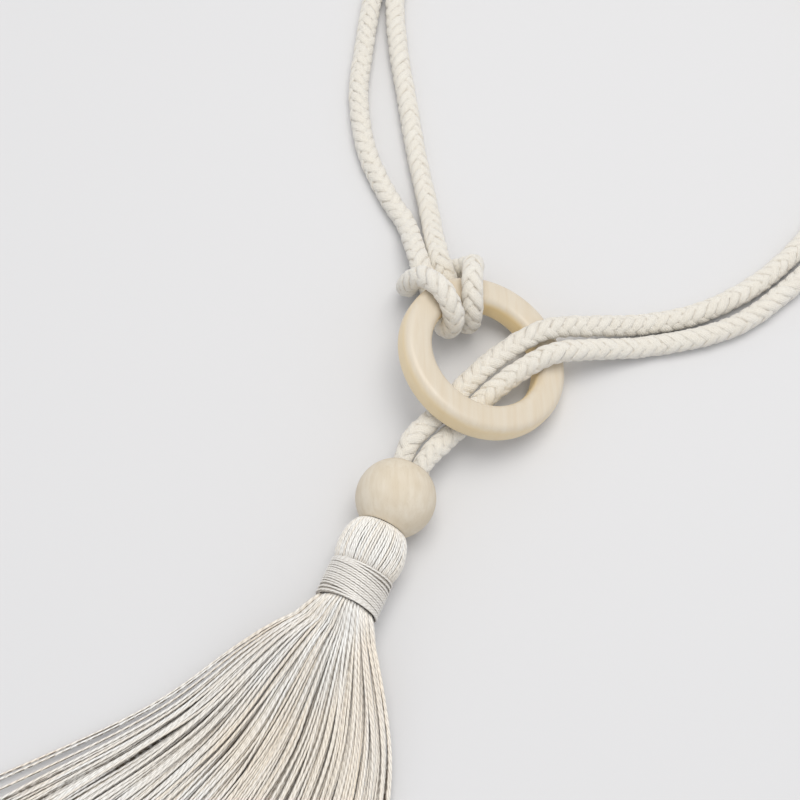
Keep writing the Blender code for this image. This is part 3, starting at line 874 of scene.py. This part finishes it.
def build_ring(settings):
    """A rounded oblong section spun round, smoothed, tilted into place and pressed level below."""
    upright = (math.pi / 2, 0.0, 0.0)
    ring = add_primitive(
        bpy.ops.mesh.primitive_plane_add, "maple_ring", size=2.0,
        location=(RING_MID_RADIUS, 0.0, 0.0), rotation=upright,
    )
    ring.scale = (RING_HALF_WIDTH, RING_HALF_HEIGHT, 1.0)
    bpy.ops.object.transform_apply(location=True, rotation=True, scale=True)
    bpy.ops.object.mode_set(mode="EDIT")
    bpy.ops.mesh.select_all(action="SELECT")
    bpy.ops.mesh.subdivide(number_cuts=1)
    bpy.ops.mesh.dissolve_faces()
    crown = (RING_CROWN, 1, RING_CROWN)
    select_in_edit(ring, "VERT", lambda place: off_middle(place) < NEAR)
    bpy.ops.transform.resize(value=crown, center_override=(RING_MID_RADIUS, 0, 0))
    select_in_edit(ring, "VERT", lambda place: off_middle(place) > NEAR)
    bpy.ops.mesh.bevel(
        offset_type="OFFSET", offset=RING_CORNER, segments=5, affect="VERTICES", clamp_overlap=False,
    )
    bpy.ops.mesh.select_all(action="SELECT")
    bpy.ops.mesh.delete(type="ONLY_FACE")
    bpy.ops.mesh.select_all(action="SELECT")
    bpy.ops.mesh.spin(steps=settings.steps, angle=math.tau, center=(0, 0, 0), axis=(0, 0, 1))
    bpy.ops.mesh.select_all(action="SELECT")
    bpy.ops.mesh.remove_doubles(threshold=NEAR)
    bpy.ops.mesh.normals_make_consistent(inside=False)
    bpy.ops.object.mode_set(mode="OBJECT")
    smoothing = ring.modifiers.new("smooth", "SUBSURF")
    smoothing.levels = 1
    smoothing.render_levels = 1
    bpy.ops.object.modifier_apply(modifier=smoothing.name)
    places = np.array([vert.co for vert in ring.data.vertices])
    point_attribute(ring.data, "wall_grain_and_bounce", ring_walls(places))
    turn = Matrix.Rotation(RING_TILT_TOWARDS, 4, "Z") @ Matrix.Rotation(RING_TILT, 4, "Y")
    apply_place(ring, Matrix.Translation(RING_CENTRE + ROUTE_ORIGIN) @ turn)
    stand_on_flat(ring, RING_FLAT)
    bpy.ops.object.shade_smooth_by_angle(angle=SMOOTH_ANGLE)
    finish_piece(ring, maple_material(settings), "ring")


def build_bead(settings):
    """A ball bisected at both ends, its rims bridged by the bore and rounded over."""
    bead = add_primitive(
        bpy.ops.mesh.primitive_uv_sphere_add, "beech_bead",
        segments=72, ring_count=48, radius=settings.radius,
    )
    half_length = bead_mouth()
    bpy.ops.object.mode_set(mode="EDIT")
    for end in (1, -1):
        bpy.ops.mesh.select_all(action="SELECT")
        bpy.ops.mesh.bisect(plane_co=(0, 0, end * half_length), plane_no=(0, 0, end), clear_outer=True)
    bpy.ops.mesh.select_all(action="DESELECT")
    bpy.ops.mesh.select_mode(type="EDGE")
    bpy.ops.mesh.select_non_manifold()
    bpy.ops.mesh.bridge_edge_loops()
    select_in_edit(bead, "EDGE", lambda middle: abs(abs(middle.z) - half_length) < NEAR)
    bpy.ops.mesh.bevel(offset_type="OFFSET", offset=BEAD_RIM, segments=3, affect="EDGES")
    bpy.ops.mesh.select_all(action="SELECT")
    bpy.ops.mesh.normals_make_consistent(inside=False)
    bpy.ops.object.mode_set(mode="OBJECT")
    lay = UP.rotation_difference(HANG).to_matrix().to_4x4()
    apply_place(bead, Matrix.Translation((BEAD_CENTRE.x, BEAD_CENTRE.y, 0.0)) @ lay)
    stand_on_flat(bead, settings.radius - BEAD_CENTRE.z)
    bpy.ops.object.shade_smooth_by_angle(angle=SMOOTH_ANGLE)
    finish_piece(bead, raw_beech_material(settings), "bead")


# ---------------------------------------------------------------- tassel


def build_head(settings):
    """Threads folded over the top and drawn in under the neck's wrap, in two layers."""
    rng = np.random.default_rng(settings.seed)
    share = np.linspace(0.0, 1.0, HEAD_STEPS)
    stations, radii, heights = np.array(HEAD_PROFILE).T * MM
    top, foot = HEAD_PROFILE[0][0], HEAD_PROFILE[-1][0]
    reach = top * MM + (foot - top) * MM * share**HEAD_CROWDING
    radius = np.interp(reach, stations, radii)
    middle = hang_line(reach, np.interp(reach, stations, heights))
    # Painted shade darkens the foot, where the wrap draws the threads in.
    foot_depth = 0.45 * np.clip((share - 0.86) / 0.14, 0.0, 1.0)
    strands = []
    for start, sunk, depth in HEAD_LAYERS:
        for k in range(settings.head_threads):
            sway = 0.008 * np.sin(share * rng.uniform(3.0, 7.0) + rng.uniform(0, math.tau))
            angle = math.tau * (k + start) / settings.head_threads + sway
            angle = angle + rng.normal(0, 0.006) + HEAD_LEAN * (share - 0.5)
            lift = rng.normal(0, 0.07) * MM * np.sin(share * math.pi)
            out = np.maximum(radius - settings.head_thread / 2 - sunk + lift, 0.5 * MM)
            around = directions_round(angle)
            thickness = settings.head_thread / 2 * (1.0 + 0.05 * rng.normal())
            strands.append(thread(
                middle + around * out[:, None], around, thickness,
                rng.beta(1.3, 3.0), (depth + foot_depth)[:, None],
            ))
    material = silky_thread_material(
        "viscose_head", settings.light_colour, settings.dark_colour, settings.deep_shade_colour, HEAD_PLY,
    )
    head = strand_mesh("tassel_head", strands, round_section(6))
    finish_piece(head, material, "tassel")
    return material


def build_head_core(material):
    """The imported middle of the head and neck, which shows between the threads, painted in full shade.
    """
    stations, widths, thicknesses, heights = np.array(CORE_SECTIONS).T * MM
    reach = stations[0] + (stations[-1] - stations[0]) * np.linspace(0.0, 1.0, 24)
    strand = Strand(
        hang_line(reach, np.interp(reach, stations, heights)),
        np.tile(np.array(UP), (len(reach), 1)), np.interp(reach, stations, widths),
        np.interp(reach, stations, thicknesses) * CORE_FLATNESS, 0.5, 1.0,
    )
    core = strand_mesh("tassel_core", [strand], round_section(32))
    finish_piece(core, material, "tassel")


def build_wrap(settings):
    """Two layers of turns: level ones, and over them turns that lean from side to side."""
    rng = np.random.default_rng(WRAP_SEED)
    radius = settings.thread / 2
    low = NECK_START + WRAP_MARGIN + radius
    high = NECK_END - WRAP_MARGIN - radius
    turn = np.arange(settings.turns * WRAP_STEPS + 1) / WRAP_STEPS
    share = turn / settings.turns
    room = np.minimum(share, 1.0 - share) * (high - low)
    angle = turn * math.tau - math.pi / 2
    outward = directions_round(angle)
    strands = []
    for lean, sunk, tone, depth in WRAP_LAYERS:
        wobble = WRAP_WOBBLE * np.sin(turn * 2.39 + rng.uniform(0, 6, 1)) * np.minimum(1.0, room / MM)
        swing = np.minimum(lean * settings.slant, room * 0.95)
        along = low + (high - low) * share + swing * np.cos(angle) + wobble
        centres = np.array(BEAD_CENTRE) + np.outer(along, HANG)
        centres += outward * (WRAP_OUTER - radius * sunk)
        centres[:, 2] += WRAP_OUTER - BEAD_CENTRE.z
        strands.append(thread(centres, outward, radius, tone, depth))
    material = silky_thread_material(
        "viscose_wrap", settings.colour, tinted(settings.colour, 0.90, 0.86, 0.80),
        settings.groove_shade_colour, WRAP_PLY,
    )
    wrap = strand_mesh("neck_wrap_thread", strands, round_section(7))
    finish_piece(wrap, material, "neck_wrap")


def skirt_heading(spread, travelled):
    """The direction of a thread, turned from the hang direction, at a distance from the root."""
    distances, left, right = np.array(FAN_EDGES).T
    left, right = (np.radians(np.interp(travelled / MM, distances, edge)) for edge in (left, right))
    return left + (right - left) * (spread + 1) / 2


def ripples(spread, waves):
    """Waves across the skirt, added up."""
    return sum(amount * math.sin(spread * rate + phase) for amount, rate, phase in waves)


def gathered(spread, travelled):
    """Threads drawn together into locks, more so towards the tips."""
    grip = np.clip((travelled - LOCKS_FROM) / LOCKS_GROW, 0.0, 1.0)
    return spread + grip * ripples(spread + ripples(spread, LOCK_SHIFTS), LOCKS)


def skirt_root(spread, level, radius):
    """Centres of a thread's root, which fans out of the neck."""
    sections = np.array(SKIRT_SECTIONS).T
    stations = sections[0] * MM
    reach = np.linspace(stations[0], stations[-1], ROOT_STEPS)
    half_width, half_height, middle = (np.interp(reach, stations, row) * MM for row in sections[1:4])
    roundness = np.interp(reach, stations, sections[4])
    aside = spread * (half_width - radius) * np.sqrt(1 - roundness * level**2 / 2)
    height = middle + level * (half_height - radius) * np.sqrt(1 - roundness * spread**2 / 2)
    return hang_line(reach, height) + np.outer(aside, ACROSS)


def skirt_thread(spread, level, length, radius, sway, phases, rng):
    """Centres of one thread, and the skirt's height over those that come after its root."""
    root = skirt_root(spread, level, radius)
    count = max(int(length / STRAND_STEP), 4)
    fine = np.linspace(0.0, length, count * FINE_STEPS + 1)
    slip = rng.normal(0, 0.4) + rng.normal(0, 0.5) * np.exp(-fine / SLIP_FADES)
    waves = sum(
        amount * np.sin(fine / (wave * MM) * math.tau + phase + 2.6 * spread + rng.normal(0, 0.5))
        for (amount, wave), phase in zip(SKIRT_WAVES, phases)
    )
    calm = 1 - 0.4 * abs(spread) ** 6
    angle = skirt_heading(gathered(spread, fine), fine) + sway * (slip + waves) * calm
    heading = np.outer(np.cos(angle), HANG) + np.outer(np.sin(angle), ACROSS)
    steps = np.diff(fine)[:, None] * (heading[:-1] + heading[1:]) / 2
    path = root[-1] + np.concatenate([np.zeros((1, 3)), np.cumsum(steps, axis=0)])
    # The skirt is lower at its edges, and its threads settle on the table in their order.
    distances, tops = np.array(SKIRT_HEIGHTS).T * MM
    edge_fall = EDGE_FALL * spread**4 * np.clip(fine / EDGE_FALLS_OVER, 0, 1)
    top = np.maximum(np.interp(fine, distances, tops) * (1 - edge_fall), 2.4 * radius)
    settled = radius + (top - 2 * radius) * (level + 1) / 2
    share = np.clip(fine / SETTLES_OVER, 0.0, 1.0)
    share = share * share * (3 - 2 * share)
    path[:, 2] = root[-1, 2] * (1 - share) + settled * share
    kept = slice(FINE_STEPS, None, FINE_STEPS)
    return np.concatenate([root, path[kept]]), top[kept]


def skirt_depth(centres, tops, spread, radius):
    """How much painted shade each place on a thread gets for lying inside the skirt, with 0 at its
    surface.
    """
    height = centres[-len(tops):, 2]
    buried = np.minimum(tops - radius - height, height - radius + 0.5 * MM)
    inside = DEEPEST * np.clip((buried - DARK_FROM) / DARK_OVER, 0.0, 1.0)
    from_edge = np.clip(min(spread - FAN_FILLED[0], FAN_FILLED[1] - spread) / 0.16, 0.0, 1.0)
    root = np.full(len(centres) - len(tops), inside[0])
    return np.concatenate([root, inside]) * from_edge


def skirt_threads(settings, rng):
    """Spread, level, sway and phases of every thread: the rows, the stray and the loose ones."""
    threads = []
    for row in range(settings.skirt_rows):
        level = 1 - 2 * (row + 0.3) / settings.skirt_rows
        count = round(settings.skirt_across * math.sqrt(1 - level**2 / 2))
        phases = rng.uniform(0, math.tau, 3)
        for k in range(count):
            place = k + (row * GOLDEN) % 1.0
            spread = FAN_FILLED[0] + (FAN_FILLED[1] - FAN_FILLED[0]) * place / count
            spread = spread + rng.normal(0, 0.005)
            threads.append((spread, level + rng.normal(0, 0.02), SKIRT_SWAY, phases))
    threads += [(spread, STRAY_LEVEL, 0.0, np.zeros(3)) for spread in STRAY_SPREADS]
    loose = np.random.default_rng(settings.seed + 2)
    for spread in LOOSE_SPREADS:
        threads.append((spread, LOOSE_LEVEL, LOOSE_SWAY, loose.uniform(0, math.tau, 3)))
    return threads


def build_skirt(settings):
    """Rows of threads fanned out on the table, in three pieces side by side."""
    rng = np.random.default_rng(settings.seed + 1)
    radius = settings.thread / 2
    groups = [[] for _ in SKIRT_SIDES]
    for spread, level, sway, phases in skirt_threads(settings, rng):
        length = SKIRT_LENGTH - 6 * MM * rng.uniform() ** 2
        centres, tops = skirt_thread(spread, level, length, radius, sway, phases, rng)
        depth = skirt_depth(centres, tops, spread, radius)
        thickness = radius * rng.uniform(0.9, 1.06)
        upward = math.copysign(abs(level) + 0.2, level + 0.3)
        facing = np.array(ACROSS) * spread**7 + np.array(UP) * upward
        outward = np.tile(facing / np.linalg.norm(facing), (len(centres), 1))
        side = min(int((spread + 1) / 2 * len(groups)), len(groups) - 1)
        groups[side].append(thread(centres, outward, thickness, rng.beta(1.2, 2.6), depth[:, None]))
    material = silky_thread_material(
        "viscose_skirt", settings.light_colour, settings.dark_colour, settings.deep_shade_colour, SKIRT_PLY,
    )
    for side, strands in zip(SKIRT_SIDES, groups):
        piece = strand_mesh("tassel_skirt_" + side, strands, round_section(5))
        finish_piece(piece, material, "tassel")


# ---------------------------------------------------------------- stage


def add_light(name, place, target, size, power, colour):
    """Add a square soft light that faces the target."""
    data = bpy.data.lights.new(name, "AREA")
    data.shape = "SQUARE"
    data.size = size
    data.energy = power
    data.color = colour
    light = bpy.data.objects.new(name, data)
    light.location = place
    light.rotation_euler = (target - place).to_track_quat("-Z", "Y").to_euler()
    bpy.context.scene.collection.objects.link(light)


def build_stage(settings):
    """The camera, the floor, two soft lights above and an even sky."""
    target = ROUTE_ORIGIN.copy()
    back = Vector((0.0, -math.sin(CAMERA_LEAN), math.cos(CAMERA_LEAN)))
    camera_data = bpy.data.cameras.new("camera")
    camera_data.lens = CAMERA_LENS
    camera = bpy.data.objects.new("camera", camera_data)
    camera.location = target + back * CAMERA_DISTANCE
    camera.rotation_euler = (-back).to_track_quat("-Z", "Y").to_euler()
    bpy.context.scene.collection.objects.link(camera)
    bpy.context.scene.camera = camera
    floor = add_primitive(
        bpy.ops.mesh.primitive_plane_add, "floor",
        size=FLOOR_SIZE, location=(target.x, target.y, -FLOOR_BELOW),
    )
    floor.data.materials.append(matt_paint_material(settings))
    add_light("key", target + KEY_PLACE, target, KEY_SIZE, settings.key, linear("FFFBF4"))
    add_light("fill", target + FILL_PLACE, target, FILL_SIZE, settings.fill, linear("F6F9FF"))
    world = bpy.data.worlds.new("sky")
    world.use_nodes = True
    background = world.node_tree.nodes["Background"]
    background.inputs["Color"].default_value = (*linear("FBFCFF"), 1.0)
    background.inputs["Strength"].default_value = settings.sky
    bpy.context.scene.world = world
    bpy.context.scene.view_settings.view_transform = "Standard"


# ---------------------------------------------------------------- operators and panel


class TIEBACK_OT_stage(bpy.types.Operator):
    """Add the camera, the floor and the soft lights"""

    bl_idname = "tieback.stage"
    bl_label = "Stage"

    def execute(self, context):
        build_stage(context.scene.tieback_stage)
        return {"FINISHED"}


class TIEBACK_OT_rope(bpy.types.Operator):
    """Braid the cotton rope along its route"""

    bl_idname = "tieback.rope"
    bl_label = "Cotton rope"

    def execute(self, context):
        build_rope(context.scene.tieback_rope)
        return {"FINISHED"}


class TIEBACK_OT_ring(bpy.types.Operator):
    """Turn the wooden ring"""

    bl_idname = "tieback.ring"
    bl_label = "Wooden ring"

    def execute(self, context):
        build_ring(context.scene.tieback_ring)
        return {"FINISHED"}


class TIEBACK_OT_bead(bpy.types.Operator):
    """Turn and drill the wooden bead"""

    bl_idname = "tieback.bead"
    bl_label = "Wooden bead"

    def execute(self, context):
        build_bead(context.scene.tieback_bead)
        return {"FINISHED"}


class TIEBACK_OT_head(bpy.types.Operator):
    """Lay the threads of the tassel's head over its core"""

    bl_idname = "tieback.head"
    bl_label = "Tassel head"

    def execute(self, context):
        material = build_head(context.scene.tieback_tassel)
        build_head_core(material)
        return {"FINISHED"}


class TIEBACK_OT_wrap(bpy.types.Operator):
    """Wind the thread round the tassel's neck"""

    bl_idname = "tieback.wrap"
    bl_label = "Neck wrap"

    def execute(self, context):
        build_wrap(context.scene.tieback_wrap)
        return {"FINISHED"}


class TIEBACK_OT_skirt(bpy.types.Operator):
    """Fan out the threads of the tassel's skirt"""

    bl_idname = "tieback.skirt"
    bl_label = "Tassel skirt"

    def execute(self, context):
        build_skirt(context.scene.tieback_tassel)
        return {"FINISHED"}


# Each operator in the order of building, with the settings that it reads.
STEPS = [
    ("stage", "tieback_stage"), ("rope", "tieback_rope"), ("ring", "tieback_ring"),
    ("bead", "tieback_bead"), ("head", "tieback_tassel"), ("wrap", "tieback_wrap"),
    ("skirt", "tieback_tassel"),
]


class TIEBACK_PT_panel(bpy.types.Panel):
    """The tieback's pieces and their sizes"""

    bl_idname = "TIEBACK_PT_panel"
    bl_label = "Curtain tieback"
    bl_space_type = "VIEW_3D"
    bl_region_type = "UI"
    bl_category = "Tieback"

    def draw(self, context):
        for operator, group in STEPS:
            box = self.layout.box()
            settings = getattr(context.scene, group)
            for name in type(settings).__annotations__:
                box.prop(settings, name)
            box.operator("tieback." + operator)


GROUPS = {
    "tieback_stage": TiebackStage,
    "tieback_rope": TiebackRope,
    "tieback_ring": TiebackRing,
    "tieback_bead": TiebackBead,
    "tieback_tassel": TiebackTassel,
    "tieback_wrap": TiebackWrap,
}
OPERATORS = [
    TIEBACK_OT_stage, TIEBACK_OT_rope, TIEBACK_OT_ring, TIEBACK_OT_bead,
    TIEBACK_OT_head, TIEBACK_OT_wrap, TIEBACK_OT_skirt,
]


def register():
    for name, group in GROUPS.items():
        bpy.utils.register_class(group)
        setattr(bpy.types.Scene, name, bpy.props.PointerProperty(type=group))
    for operator in OPERATORS:
        bpy.utils.register_class(operator)
    bpy.utils.register_class(TIEBACK_PT_panel)


def unregister():
    bpy.utils.unregister_class(TIEBACK_PT_panel)
    for operator in reversed(OPERATORS):
        bpy.utils.unregister_class(operator)
    for name, group in reversed(GROUPS.items()):
        delattr(bpy.types.Scene, name)
        bpy.utils.unregister_class(group)


def main():
    register()
    for operator, _ in STEPS:
        getattr(bpy.ops.tieback, operator)()


if __name__ == "__main__":
    main()
